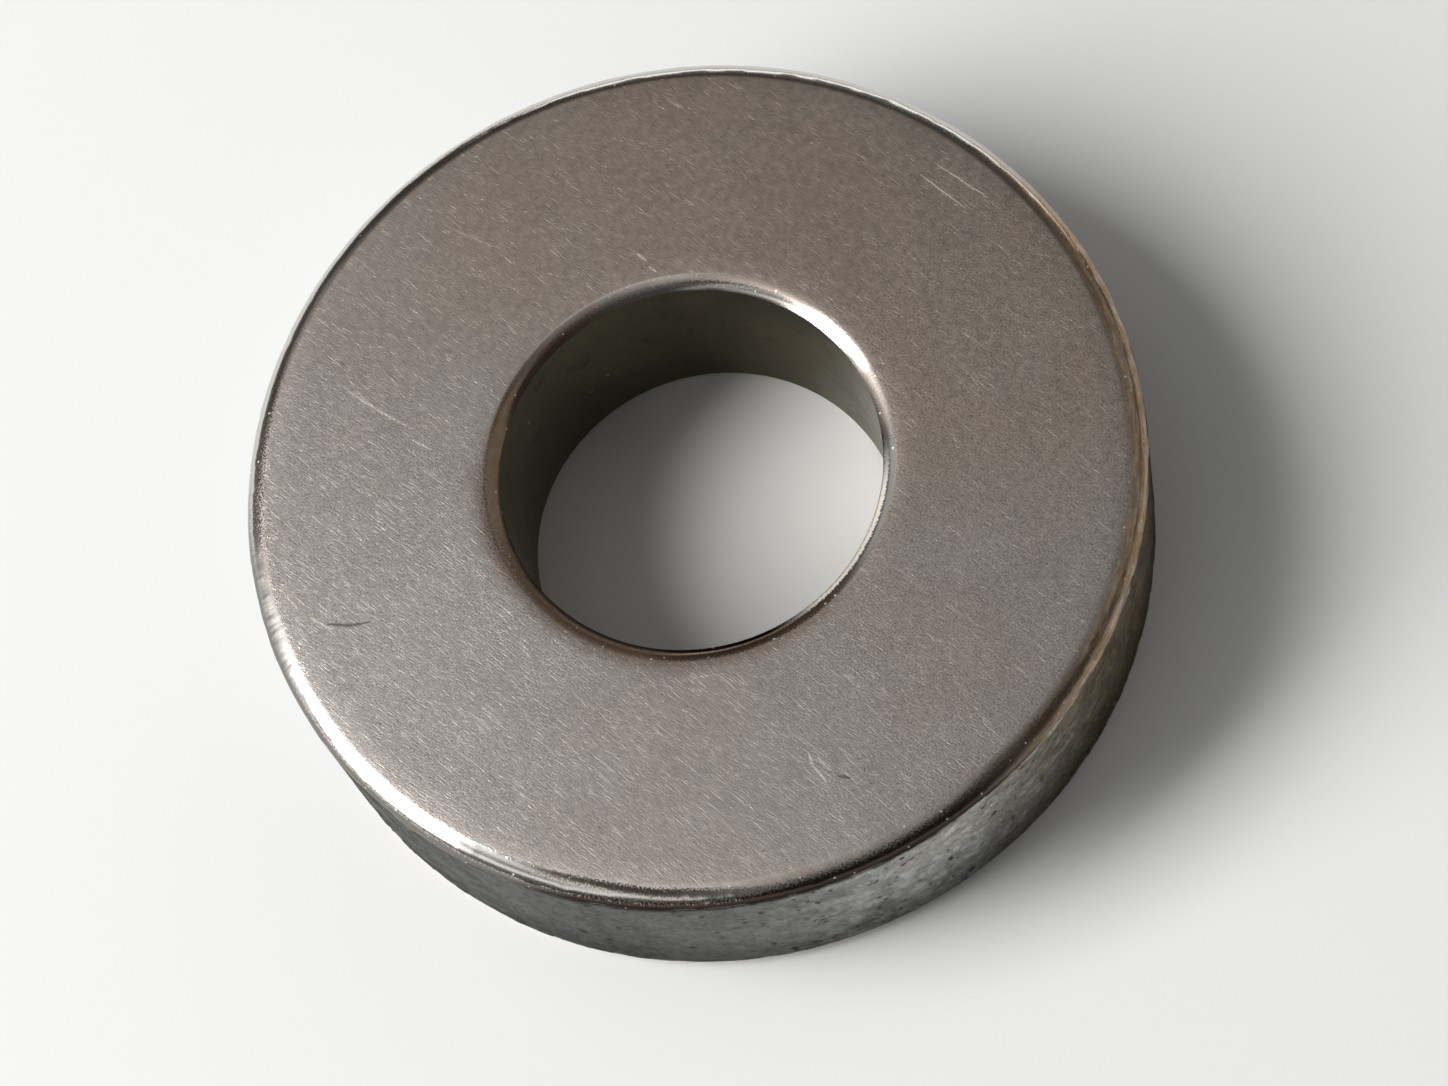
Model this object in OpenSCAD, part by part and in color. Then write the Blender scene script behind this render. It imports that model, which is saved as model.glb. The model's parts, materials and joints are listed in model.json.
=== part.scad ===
// Ring magnet: one sintered, nickel-plated ring with a plain straight bore.
//
// The ring lies flat on z = 0 with its axis on Z, so the origin is the middle
// of the bore, level with the lower face. Both faces are flat, the rim and the
// bore are straight cylinders, and all four edges are rounded. Each rounding
// runs smoothly into its face and meets its wall at a crease, which is slight
// at the rim and plain in the bore, as on a ring whose faces are tumbled and
// whose walls are ground. The plating is a few hundredths of a millimetre thick
// and is part of the solid, so every size here is taken over the plating.

/* [Ring] */
// Outside diameter
outer_d = 20; // [16:0.5:60]
// Diameter of the bore
bore_d = 8.5; // [4:0.1:10.5]
// Thickness from the lower face to the upper face
thickness = 5; // [2.5:0.1:20]

/* [Edges] */
// Radius of the rounding on the two outside edges
rim_edge_r = 0.5; // [0.1:0.05:1.2]
// Angle of the crease where an outside rounding meets the rim
rim_crease = 15; // [0:1:40]
// Radius of the rounding on the two edges of the bore
bore_edge_r = 0.45; // [0.1:0.05:1.2]
// Angle of the crease where a bore rounding meets the bore
bore_crease = 38; // [0:1:50]

/* [Finish] */
// Colour of the nickel plating
plating_color = "#A39B91"; // ["#A39B91":Satin nickel, "#C9C4BC":Bright nickel]

/* [Hidden] */

// Facets that a full turn has in the preview
turn_facets = 180;
// How far a cutting shape runs past the face that it trims
overrun = 1;

rim_r = outer_d / 2;
bore_r = bore_d / 2;
// Width of the flat faces' band, from the bore to the rim
band_w = rim_r - bore_r;

// What a rounding of radius r takes off one corner of the section. Both signs
// in outward point away from the material. The arc is tangent to the face, and
// its centre lies near enough to the wall to leave the crease there.
module corner_waste(corner, outward, r, crease) {
    centre = corner - [outward[0] * r * cos(crease), outward[1] * r];
    side = r + overrun;
    difference() {
        translate(centre + side / 2 * outward)
            square(side, center = true);
        translate(centre)
            circle(r = r, $fn = turn_facets);
    }
}

// The section on one side of the axis, with its four corners rounded.
module ring_section() {
    difference() {
        translate([bore_r, 0])
            square([band_w, thickness]);
        for (face = [[0, -1], [thickness, 1]]) {
            height = face[0];
            up = face[1];
            corner_waste([rim_r, height], [1, up], rim_edge_r, rim_crease);
            corner_waste([bore_r, height], [-1, up], bore_edge_r, bore_crease);
        }
    }
}

// The magnet: its section, turned once around the axis.
module ring_magnet() {
    color(plating_color)
        rotate_extrude($fn = turn_facets)
            ring_section();
}

ring_magnet();
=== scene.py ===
"""Ring magnet in satin nickel plate, with polished edges, a pitted rim and a dull bore."""
import json
import logging
import math
from dataclasses import asdict, dataclass, field, fields
from enum import Enum
from functools import cached_property
from typing import Callable, Dict, Mapping, Tuple, Union

import bpy
from bpy.types import ID, Material, Mesh, Node, NodeSocket, NodeTree, Object
from mathutils import Matrix, Vector


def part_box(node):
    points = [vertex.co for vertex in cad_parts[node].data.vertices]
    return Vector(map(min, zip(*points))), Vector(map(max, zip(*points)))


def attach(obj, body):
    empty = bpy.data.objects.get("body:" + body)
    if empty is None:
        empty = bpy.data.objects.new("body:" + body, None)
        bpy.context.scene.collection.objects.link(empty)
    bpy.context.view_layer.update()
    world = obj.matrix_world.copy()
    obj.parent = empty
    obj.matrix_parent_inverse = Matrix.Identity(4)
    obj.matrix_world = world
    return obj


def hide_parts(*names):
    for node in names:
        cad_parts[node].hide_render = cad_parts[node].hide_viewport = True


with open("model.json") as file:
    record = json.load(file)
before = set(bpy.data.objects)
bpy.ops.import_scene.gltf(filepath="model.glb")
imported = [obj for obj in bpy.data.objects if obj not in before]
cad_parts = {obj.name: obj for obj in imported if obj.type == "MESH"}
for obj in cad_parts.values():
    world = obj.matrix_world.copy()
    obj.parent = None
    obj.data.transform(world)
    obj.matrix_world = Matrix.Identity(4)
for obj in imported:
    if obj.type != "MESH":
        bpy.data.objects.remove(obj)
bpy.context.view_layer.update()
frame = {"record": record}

MM = 0.001
# Midway between the bore and the rim, in millimetres from the axis
MIDWAY = 7.0
# Half of the thickness, in millimetres
HALFWAY_UP = 2.5
# How far apart the two faces read their patterns, in millimetres
FACES_APART = 31.0
# Keeps a ramp from having no width
TINY = 0.0001
# Where nearly all of a noise's values lie
NOISE_LOW, NOISE_HIGH = 0.2, 0.8
FLOAT, VECTOR = "NodeSocketFloat", "NodeSocketVector"
LOG = logging.getLogger("ring_magnet")

Value = Union[float, int, bool, str, Tuple[float, ...], "Signal"]
Colour = Tuple[float, float, float]


def title(name: str) -> str:
    """Turns a field's name into a socket's name.

    Args:
        name: The field's name, such as rim_radius.

    Returns:
        The socket's name, such as Rim Radius.
    """
    return name.replace("_", " ").title()


class Zone(Enum):
    """The parts of the turned surface that have a finish of their own."""

    FACE = 0
    RIM = 1
    BORE = 2


class Tone(Enum):
    """Whether a mark is cut bright into the plate or is filled with dirt."""

    BRIGHT = "bright"
    DARK = "dark"


# Node trees
def sign(operation: str, flipped: bool = False) -> Callable[["Signal", Value], "Signal"]:
    """Makes the method behind one sign, such as + or >.

    Args:
        operation: The Math node's operation.
        flipped: Whether the signal stands to the right of the sign.

    Returns:
        The method.
    """
    return lambda own, other: own.bench.math(operation, *((other, own) if flipped else (own, other)))


@dataclass(eq=False)
class Signal:
    """What runs between nodes. Each sign adds a Math node, and | takes the larger and & the smaller."""

    bench: "Bench"
    socket: NodeSocket

    __add__, __radd__ = sign("ADD"), sign("ADD", True)
    __sub__, __rsub__ = sign("SUBTRACT"), sign("SUBTRACT", True)
    __mul__, __rmul__ = sign("MULTIPLY"), sign("MULTIPLY", True)
    __truediv__, __rtruediv__ = sign("DIVIDE"), sign("DIVIDE", True)
    __or__, __ror__, __and__ = sign("MAXIMUM"), sign("MAXIMUM", True), sign("MINIMUM")
    __pow__, __gt__, __lt__ = sign("POWER"), sign("GREATER_THAN"), sign("LESS_THAN")

    def clamp(self) -> "Signal":
        """Holds the result of the last sign between 0 and 1.

        Returns:
            The same signal.
        """
        self.socket.node.use_clamp = True
        return self


@dataclass
class Step:
    """A node that has been added. Its outputs are picked by name or number."""

    bench: "Bench"
    node: Node

    def __getitem__(self, key: Union[str, int]) -> Signal:
        """Picks an output.

        Args:
            key: Its name or number.

        Returns:
            The signal that it gives.
        """
        return Signal(self.bench, self.node.outputs[key])


@dataclass
class Bench:
    """Adds nodes to one tree and joins them up, with one call for each step."""

    tree: NodeTree

    def feed(self, socket: NodeSocket, value: Value) -> None:
        """Links an input to a signal, or sets its own value.

        Args:
            socket: The input to fill.
            value: A signal, or a plain value.
        """
        if isinstance(value, Signal):
            self.tree.links.new(value.socket, socket)
        else:
            socket.default_value = value

    def add(self, kind: str, inputs: Mapping[Union[str, int], Value] = {}, **props: object) -> Step:
        """Adds a node.

        Args:
            kind: The node's type name.
            inputs: Values or signals, by the input's name or number.
            props: The node's own settings.

        Returns:
            The new node.
        """
        node = self.tree.nodes.new(kind)
        for name, setting in props.items():
            setattr(node, name, setting)
        for key, value in inputs.items():
            self.feed(node.inputs[key], value)
        return Step(self, node)

    def math(self, operation: str, *values: Value) -> Signal:
        """Adds a Math node.

        Args:
            operation: The node's operation.
            values: Its one to three inputs.

        Returns:
            The result.
        """
        return self.add("ShaderNodeMath", dict(enumerate(values)), operation=operation)[0]

    def vector(self, operation: str, *values: Value) -> Signal:
        """Adds a Vector Math node.

        Args:
            operation: The node's operation.
            values: Its vectors, or a vector and a number for SCALE.

        Returns:
            The vector, or the value for an operation that gives one.
        """
        inputs = {0: values[0], "Scale": values[1]} if operation == "SCALE" else dict(enumerate(values))
        out = "Value" if operation in ("LENGTH", "DOT_PRODUCT", "DISTANCE") else "Vector"
        return self.add("ShaderNodeVectorMath", inputs, operation=operation)[out]

    def join(self, x: Value, y: Value, z: Value = 0.0) -> Signal:
        """Makes a vector out of three values.

        Args:
            x, y, z: The values.

        Returns:
            The vector.
        """
        return self.add("ShaderNodeCombineXYZ", {0: x, 1: y, 2: z})[0]

    def split(self, vector: Signal) -> Tuple[Signal, Signal, Signal]:
        """Takes a vector apart.

        Args:
            vector: The vector.

        Returns:
            Its three components.
        """
        out = self.add("ShaderNodeSeparateXYZ", {0: vector})
        return out[0], out[1], out[2]

    def ramp(self, value: Value, low: Value, high: Value, start: Value = 0.0, end: Value = 1.0,
             smooth: bool = True) -> Signal:
        """Carries a range of values over to another, and holds it at both ends.

        Args:
            value: What is mapped.
            low, high: The range.
            start, end: The results at its ends.
            smooth: Whether the ends are eased.

        Returns:
            The mapped value.
        """
        limits = {"Value": value, "From Min": low, "From Max": high, "To Min": start, "To Max": end}
        return self.add("ShaderNodeMapRange", limits,
                        interpolation_type="SMOOTHSTEP" if smooth else "LINEAR")[0]

    def swing(self, noise: Value, start: Value, end: Value) -> Signal:
        """Stretches the usual range of a noise over another.

        Args:
            noise: The noise.
            start, end: The results where it is low and where it is high.

        Returns:
            The mapped noise.
        """
        return self.ramp(noise, NOISE_LOW, NOISE_HIGH, start, end, smooth=False)

    def noise(self, vector: Value, scale: Value, detail: float = 2.0, rough: float = 0.5,
              flat: bool = False, out: str = "Fac") -> Signal:
        """Adds a cloudy noise.

        Args:
            vector: Where it is read.
            scale: Its scale.
            detail: How many finer layers it has.
            rough: How strong the finer layers are.
            flat: Whether it is read in a plane, which is quicker.
            out: Fac for a value around 0.5, or Color for a vector around it.

        Returns:
            The noise.
        """
        inputs = {"Vector": vector, "Scale": scale, "Detail": detail, "Roughness": rough}
        return self.add("ShaderNodeTexNoise", inputs, noise_dimensions="2D" if flat else "3D")[out]

    def cells(self, vector: Value, scale: Value = 1.0, flat: bool = False) -> Tuple[Signal, Signal, Signal]:
        """Scatters points and finds the nearest one.

        Args:
            vector: Where they are read.
            scale: How close together they are.
            flat: Whether they lie in a plane.

        Returns:
            The distance to the nearest point, and two values between 0 and 1 that are its own.
        """
        found = self.add("ShaderNodeTexVoronoi", {"Vector": vector, "Scale": scale, "Randomness": 1.0},
                         voronoi_dimensions="2D" if flat else "3D", feature="F1")
        chance, tone, _ = self.split(found["Color"])
        return found["Distance"], chance, tone

    def layers(self, colour: Value, *coats: Tuple[Value, Value]) -> Signal:
        """Lays colours over another, one after the other.

        Args:
            colour: What lies underneath.
            coats: How much of each coat there is, and its colour.

        Returns:
            The mixed colour.
        """
        for share, coat in coats:
            first, second = ((*c, 1.0) if isinstance(c, tuple) else c for c in (colour, coat))
            colour = self.add("ShaderNodeMix", {0: share, 6: first, 7: second}, data_type="RGBA")[2]
        return colour

    def tint(self, colour: Value, shade: Value) -> Signal:
        """Multiplies a colour by a value.

        Args:
            colour: The colour.
            shade: The value.

        Returns:
            The darker or lighter colour.
        """
        return self.add("ShaderNodeMix", {0: 1.0, 6: colour, 7: self.join(shade, shade, shade)},
                        data_type="RGBA", blend_type="MULTIPLY")[2]

    def blend(self, share: Value, first: Value, second: Value) -> Signal:
        """Mixes two values.

        Args:
            share: How much of the second there is.
            first, second: The values.

        Returns:
            The mixed value.
        """
        return self.add("ShaderNodeMix", {0: share, 2: first, 3: second}, data_type="FLOAT")[0]


def open_group(name: str, inputs: Mapping[str, Union[float, str]], outputs: Mapping[str, str],
               kind: str = "ShaderNodeTree") -> Tuple[Bench, Step]:
    """Starts a node group with its named inputs and outputs.

    Args:
        name: The group's name.
        inputs: What it takes: each input's kind, or its usual value for a plain number.
        outputs: The kind of each output.
        kind: GeometryNodeTree or ShaderNodeTree.

    Returns:
        A bench on the new group, and its inputs.
    """
    tree = bpy.data.node_groups.new(name, kind)
    for port, value in inputs.items():
        plain = not isinstance(value, str)
        socket = tree.interface.new_socket(name=port, in_out="INPUT", socket_type=FLOAT if plain else value)
        if plain:
            socket.default_value = value
    for port, value in outputs.items():
        tree.interface.new_socket(name=port, in_out="OUTPUT", socket_type=value)
    bench = Bench(tree)
    return bench, bench.add("NodeGroupInput")


# Sizes
@dataclass(frozen=True)
class RingSize:
    """The ring's sizes, in metres. A crease is the angle between a rounding and its wall, in degrees."""

    rim_radius: float
    bore_radius: float
    thickness: float
    rim_edge_radius: float = 0.5 * MM
    rim_crease: float = 15.0
    bore_edge_radius: float = 0.45 * MM
    bore_crease: float = 38.0

    @classmethod
    def from_frame(cls, node: str, mount: str) -> "RingSize":
        """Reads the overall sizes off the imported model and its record.

        Args:
            node: The ring's node.
            mount: The record's mount that gives the bore.

        Returns:
            The sizes.
        """
        low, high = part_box(node)
        bore = next(m for m in frame["record"]["mounts"] if m["name"] == mount)
        return cls((high.x - low.x) / 2, bore["dims"]["r_mm"] * MM, high.z - low.z)


@dataclass(frozen=True)
class Wear:
    """How deep each kind of wear goes, in metres, and where it is read, so that it comes out the same."""

    shoulder_sag: float = 0.015 * MM
    nick_depth: float = 0.006 * MM
    pit_depth: float = 0.02 * MM
    wave_depth: float = 0.003 * MM
    seed: float = 4.0


# The turned ring
@dataclass
class TurnedRing:
    """Geometry Nodes tree that turns the ring's section round its axis and wears it.

    The section is divided into so many steps on each run. A face has three: its inner shoulder, its flat
    part and its outer shoulder. Points closer than weld are joined.
    """

    turns: int = 840
    rim_arc_steps: int = 14
    bore_arc_steps: int = 10
    rim_wall_steps: int = 38
    bore_wall_steps: int = 6
    face_steps: Tuple[int, int, int] = (5, 1, 5)
    shoulder: float = 0.55 * MM
    weld: float = 0.002 * MM
    bench: Bench = field(init=False)
    given: Step = field(init=False)

    def build(self) -> NodeTree:
        """Makes the tree.

        Returns:
            The finished tree.
        """
        inputs = {title(size.name): FLOAT for size in (*fields(RingSize), *fields(Wear))}
        inputs.update({title(f"{zone.name} finish"): "NodeSocketMaterial" for zone in Zone})
        b, given = self.bench, self.given = open_group(
            "turned ring", {**inputs, "Turn Steps": "NodeSocketInt"}, {"Ring": "NodeSocketGeometry"},
            "GeometryNodeTree")
        section = self._section()
        circle = b.add("GeometryNodeCurvePrimitiveCircle",
                       {"Resolution": given["Turn Steps"], "Radius": given["Rim Radius"]}, mode="RADIUS")
        swept = b.add("GeometryNodeCurveToMesh", {"Curve": circle[0], "Profile Curve": section})
        zoned = self._store(swept[0], "zone", self._read("zone"), "INT", "FACE")
        welded = b.add("GeometryNodeMergeByDistance", {"Geometry": zoned, "Distance": self.weld})
        worn = self._wear(self._sag(self._creases(welded[0])))
        real = b.add("GeometryNodeRealizeInstances", {0: worn})[0]
        for zone in Zone:
            here = b.add("FunctionNodeCompare", {2: self._read("zone", "INT"), 3: zone.value},
                         data_type="INT", operation="GREATER_EQUAL")[0]
            real = b.add("GeometryNodeSetMaterial", {0: real, "Selection": here,
                                                     "Material": given[title(f"{zone.name} finish")]})[0]
        b.add("NodeGroupOutput", {0: real})
        return b.tree

    def _read(self, name: str, kind: str = "FLOAT") -> Signal:
        """Reads a named attribute.

        Args:
            name: The attribute.
            kind: Its data type.

        Returns:
            Its value.
        """
        return self.bench.add("GeometryNodeInputNamedAttribute", {"Name": name}, data_type=kind)[0]

    def _store(self, shape: Signal, name: str, value: Value, kind: str = "FLOAT",
               domain: str = "POINT") -> Signal:
        """Stores a named attribute.

        Args:
            shape: The geometry.
            name: The attribute.
            value: What is stored.
            kind: Its data type.
            domain: Points, edges or faces.

        Returns:
            The geometry.
        """
        return self.bench.add("GeometryNodeStoreNamedAttribute", {0: shape, "Name": name, "Value": value},
                              data_type=kind, domain=domain)[0]

    def _piece(self, curve: Signal, steps: int, zone: Zone, start: float, end: float) -> Signal:
        """Divides one run of the section and marks its points.

        Args:
            curve: The run.
            steps: How many steps it is divided into.
            zone: The finish on it.
            start, end: How far the surface has turned from face to wall at its two ends.

        Returns:
            The marked run.
        """
        b = self.bench
        run = b.add("GeometryNodeResampleCurve", {"Curve": curve, "Count": steps + 1}, mode="COUNT")[0]
        along = b.add("GeometryNodeSplineParameter")["Factor"]
        run = self._store(run, "zone", zone.value, "INT")
        run = self._store(run, "edge_turn", b.ramp(along, 0.0, 1.0, start, end, smooth=False))
        if zone is Zone.FACE:
            ends = self._read("edge_turn") > 1.0 - TINY
        else:
            ends = b.math("ABSOLUTE", along - 0.5) > 0.5 - TINY
        return self._store(run, "crease", ends)

    def _line(self, start: Tuple[Value, Value], end: Tuple[Value, Value], steps: int, zone: Zone) -> Signal:
        """Makes a straight run of the section, from (distance inside the rim, height) to another.

        Args:
            start, end: Where it begins and ends.
            steps: How many steps it has.
            zone: The finish on it.

        Returns:
            The marked run.
        """
        b = self.bench
        ends = [b.join(inward * -1.0, height * -1.0) for inward, height in (start, end)]
        line = b.add("GeometryNodeCurvePrimitiveLine", {"Start": ends[0], "End": ends[1]})[0]
        turned = 0.0 if zone is Zone.FACE else 1.0
        return self._piece(line, steps, zone, turned, turned)

    def _arc(self, centre: Tuple[Value, Value], radius: Value, begin: Value, sweep: Value, steps: int,
             start: float) -> Signal:
        """Makes a rounding of the section.

        Args:
            centre: Its centre, as (distance inside the rim, height).
            radius: Its radius.
            begin: Angle at which it begins, in radians.
            sweep: Angle that it turns through, in radians.
            steps: How many steps it has.
            start: 0 where it begins on a face, and 1 where it begins on a wall.

        Returns:
            The marked run.
        """
        b = self.bench
        arc = b.add("GeometryNodeCurveArc", {"Resolution": 4 * steps, "Radius": radius,
                                             "Start Angle": begin, "Sweep Angle": sweep}, mode="RADIUS")[0]
        place = b.join(centre[0] * -1.0, centre[1] * -1.0)
        moved = b.add("GeometryNodeTransform", {0: arc, "Translation": place})[0]
        return self._piece(moved, steps, Zone.FACE, start, 1.0 - start)

    def _section(self) -> Signal:
        """Draws the whole section, from the upper face round to the bore.

        Returns:
            The section's runs, joined.
        """
        b, given = self.bench, self.given
        top = given["Thickness"]
        bore = given["Rim Radius"] - given["Bore Radius"]
        quarter = math.pi / 2
        corners = []
        for name in ("Rim", "Bore"):
            radius, crease = given[f"{name} Edge Radius"], b.math("RADIANS", given[f"{name} Crease"])
            width = radius * b.math("COSINE", crease)
            drop = radius * (1.0 - b.math("SINE", crease))
            corners.append((radius, crease, width, drop, quarter - crease))
        (r, crease, width, drop, sweep), (bore_r, bore_crease, bore_width, bore_drop, bore_sweep) = corners
        inner = bore - bore_width
        stops = [inner, inner - self.shoulder, width + self.shoulder, width]
        runs = [self._line((first, height), (last, height), steps, Zone.FACE)
                for height, order in ((top, stops), (0.0, stops[::-1]))
                for first, last, steps in zip(order, order[1:], self.face_steps)]
        runs += [
            self._arc((width, top - r), r, -quarter, sweep, self.rim_arc_steps, 0.0),
            self._line((0.0, top - drop), (0.0, drop), self.rim_wall_steps, Zone.RIM),
            self._arc((width, r), r, crease, sweep, self.rim_arc_steps, 1.0),
            self._arc((inner, bore_r), bore_r, quarter, bore_sweep, self.bore_arc_steps, 0.0),
            self._line((bore, bore_drop), (bore, top - bore_drop), self.bore_wall_steps, Zone.BORE),
            self._arc((inner, top - bore_r), bore_r, bore_crease - math.pi, bore_sweep,
                      self.bore_arc_steps, 1.0),
        ]
        joined = b.add("GeometryNodeJoinGeometry")
        for run in reversed(runs):
            b.feed(joined.node.inputs[0], run)
        return joined[0]

    def _creases(self, shape: Signal) -> Signal:
        """Keeps the creases crisp, and shades the rest smooth.

        Args:
            shape: The welded ring.

        Returns:
            The ring with its crease edges marked.
        """
        b = self.bench
        ends = b.add("GeometryNodeInputMeshEdgeVertices")
        on = [b.add("GeometryNodeFieldAtIndex", {0: self._read("crease"), "Index": ends[i]},
                    data_type="FLOAT", domain="POINT")[0] for i in (0, 1)]
        smooth = b.add("GeometryNodeSetShadeSmooth", {0: shape, "Shade Smooth": True}, domain="FACE")[0]
        return b.add("GeometryNodeSetShadeSmooth", {0: smooth, "Selection": on[0] & on[1] > 0.9,
                                                    "Shade Smooth": False}, domain="EDGE")[0]

    def _sag(self, shape: Signal) -> Signal:
        """Lets both faces fall away a little towards their edges, as tumbling leaves them.

        Args:
            shape: The ring.

        Returns:
            The ring with soft shoulders.
        """
        b, given = self.bench, self.given
        x, y, z = b.split(b.add("GeometryNodeInputPosition")[0])
        away = b.vector("LENGTH", b.join(x, y))
        reach: Value = 0.0
        for name, side in (("Rim", 1.0), ("Bore", -1.0)):
            crease = b.math("RADIANS", given[f"{name} Crease"])
            width = given[f"{name} Edge Radius"] * b.math("COSINE", crease)
            start = given[f"{name} Radius"] - (width + self.shoulder) * side
            gone = (away - start) * side / self.shoulder
            curved = ((gone | 0.0) & 1.0) ** 2.0
            straight = (gone - 1.0 | 0.0) * 2.0
            reach = reach | curved + straight
        half = given["Thickness"] * 0.5
        fall = reach * ((half - z) / half) * given["Shoulder Sag"]
        return b.add("GeometryNodeSetPosition", {0: shape, "Offset": b.join(0.0, 0.0, fall)})[0]

    def _wear(self, shape: Signal) -> Signal:
        """Presses nicks into the edges, pits into the rim and a slight unevenness into both.

        Args:
            shape: The ring.

        Returns:
            The worn ring, which is nowhere larger than before.
        """
        b, given = self.bench, self.given
        place = b.add("GeometryNodeInputPosition")[0]
        slid = b.join(given["Seed"], given["Seed"] * 1.7)
        mm = b.vector("ADD", b.vector("SCALE", place, 1.0 / MM), slid)
        x, y, _ = b.split(place)
        outside = b.vector("LENGTH", b.join(x, y)) > MIDWAY * MM
        turned = self._read("edge_turn")
        edge = b.ramp(turned, 0.05, 0.35) * b.blend(outside, b.ramp(turned, 0.8, 1.0, 1, 0), 1.0)
        near, chance, _ = b.cells(mm, 2.2)
        nick = b.ramp(near, 0.0, b.ramp(chance, 0.6, 1.0, 0.0, 0.16, smooth=False), 1.0, 0.0)
        near, _, chance = b.cells(b.vector("MULTIPLY", mm, (1.0, 1.0, 2.4)), 2.6)
        pit = b.ramp(near, 0.0, b.ramp(chance, 0.5, 1.0, 0.0, 0.5, smooth=False), 1.0, 0.0)
        wall = b.ramp(turned, 0.97, 1.0) * outside
        fine = b.noise(b.vector("MULTIPLY", mm, (1.0, 1.0, 1.6)), 3.2)
        uneven = (b.noise(mm, 0.7) + fine * 0.4) * given["Wave Depth"]
        depth = nick * edge * outside * given["Nick Depth"] + pit * wall * given["Pit Depth"]
        depth = depth + uneven * edge
        shift = b.vector("SCALE", b.add("GeometryNodeInputNormal")[0], depth * -1.0)
        return b.add("GeometryNodeSetPosition", {0: shape, "Offset": shift})[0]


# Effects that several finishes share
class Effects:
    """The shader node groups, each built once and placed in a finish with its own values."""

    @cached_property
    def strokes(self) -> NodeTree:
        """Builds a plane field of short fine strokes that run one way, each with its own strength.

        Returns:
            The group.
        """
        b, given = open_group("short strokes",
                              {"Vector": VECTOR, "Angle": 0.0, "Length": 0.4, "Width": 0.06, "Amount": 0.5,
                               "Seed": 0.0}, {"Mask": FLOAT, "Chance": FLOAT})
        place = b.vector("ADD", given["Vector"], b.join(given["Seed"], given["Seed"] * 0.7))
        turned = b.add("ShaderNodeVectorRotate", {"Vector": place, "Angle": given["Angle"] * -1.0},
                       rotation_type="Z_AXIS")[0]
        cell = b.join(1.0 / given["Length"], 1.0 / given["Width"])
        along, across, _ = b.split(b.vector("MULTIPLY", turned, cell))
        # each row slips along by its own amount, so that the strokes don't line up side by side
        row = b.math("FLOOR", across)
        slip = b.add("ShaderNodeTexWhiteNoise", {"W": row}, noise_dimensions="1D")["Value"]
        near, chance, tone = b.cells(b.join(along + slip * 9.0, across), flat=True)
        picked = b.ramp(chance, 1.0 - given["Amount"], 1.0, 0.0, 0.55, smooth=False)
        mask = b.ramp(near, 0.0, picked + TINY, 1, 0)
        b.add("NodeGroupOutput", {"Mask": mask * b.ramp(picked, 0.0, 0.3, 0.0, 1.0), "Chance": tone})
        return b.tree

    @cached_property
    def scratch(self) -> NodeTree:
        """Builds one drawn-out scratch between two points, tapered and slightly broken.

        Returns:
            The group.
        """
        b, given = open_group("drawn scratch",
                              {"Vector": VECTOR, "Start": VECTOR, "End": VECTOR, "Width": 0.04, "Bow": 0.0,
                               "Broken": 0.4, "Wander": 0.0, "Grit": 1.0}, {"Mask": FLOAT})
        x, y, _ = b.split(given["Vector"])
        run = b.vector("SUBTRACT", given["End"], given["Start"])
        gone = b.vector("SUBTRACT", b.join(x, y), given["Start"])
        along = (b.vector("DOT_PRODUCT", gone, run) / b.vector("DOT_PRODUCT", run, run)).clamp()
        arch = along * (1.0 - along) * 4.0
        across = b.vector("NORMALIZE", b.vector("CROSS_PRODUCT", run, (0.0, 0.0, 1.0)))
        aside = b.vector("SCALE", across, arch * given["Bow"] + given["Wander"])
        off = b.vector("DISTANCE", gone, b.vector("ADD", b.vector("SCALE", run, along), aside))
        mask = b.ramp(off, 0.0, given["Width"] * (0.3 + arch * 0.7), 1.0, 0.0)
        kept = b.ramp(given["Grit"], given["Broken"] * 0.7, given["Broken"] + 0.25)
        b.add("NodeGroupOutput", {"Mask": mask * kept})
        return b.tree

    @cached_property
    def cloud(self) -> NodeTree:
        """Builds a soft cloudy variation, evened out to run from 0 to 1.

        Returns:
            The group.
        """
        b, given = open_group("cloud", {"Vector": VECTOR, "Scale": 1.0, "Low": 0.35, "High": 0.65,
                                        "Seed": 0.0}, {"Cloud": FLOAT})
        place = b.vector("ADD", given["Vector"], b.join(given["Seed"], 0.0, given["Seed"] * 1.3))
        cloud = b.ramp(b.noise(place, given["Scale"], 3.0, 0.55), given["Low"], given["High"])
        b.add("NodeGroupOutput", {"Cloud": cloud})
        return b.tree

    @cached_property
    def pits(self) -> NodeTree:
        """Builds scattered pits or specks, longer round the ring than up it.

        Returns:
            The group.
        """
        b, given = open_group("pits", {"Vector": VECTOR, "Spacing": 0.4, "Squash": 2.0, "Amount": 0.4,
                                       "Size": 0.5, "Seed": 0.0}, {"Mask": FLOAT})
        place = b.vector("ADD", given["Vector"], b.join(given["Seed"], given["Seed"] * 0.9))
        ragged = b.vector("SUBTRACT", b.noise(place, 9.0, out="Color"), (0.5, 0.5, 0.5))
        place = b.vector("ADD", place, b.vector("SCALE", ragged, 0.09))
        flat = b.vector("MULTIPLY", place, b.join(1.0, 1.0, given["Squash"]))
        near, chance, _ = b.cells(flat, 1.0 / given["Spacing"])
        reach = b.ramp(chance, 1.0 - given["Amount"], 1.0, 0.0, given["Size"], smooth=False)
        mask = b.ramp(near, reach * 0.55, reach + TINY, 1, 0)
        b.add("NodeGroupOutput", {"Mask": mask * b.ramp(reach, 0.0, 0.1)})
        return b.tree

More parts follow.
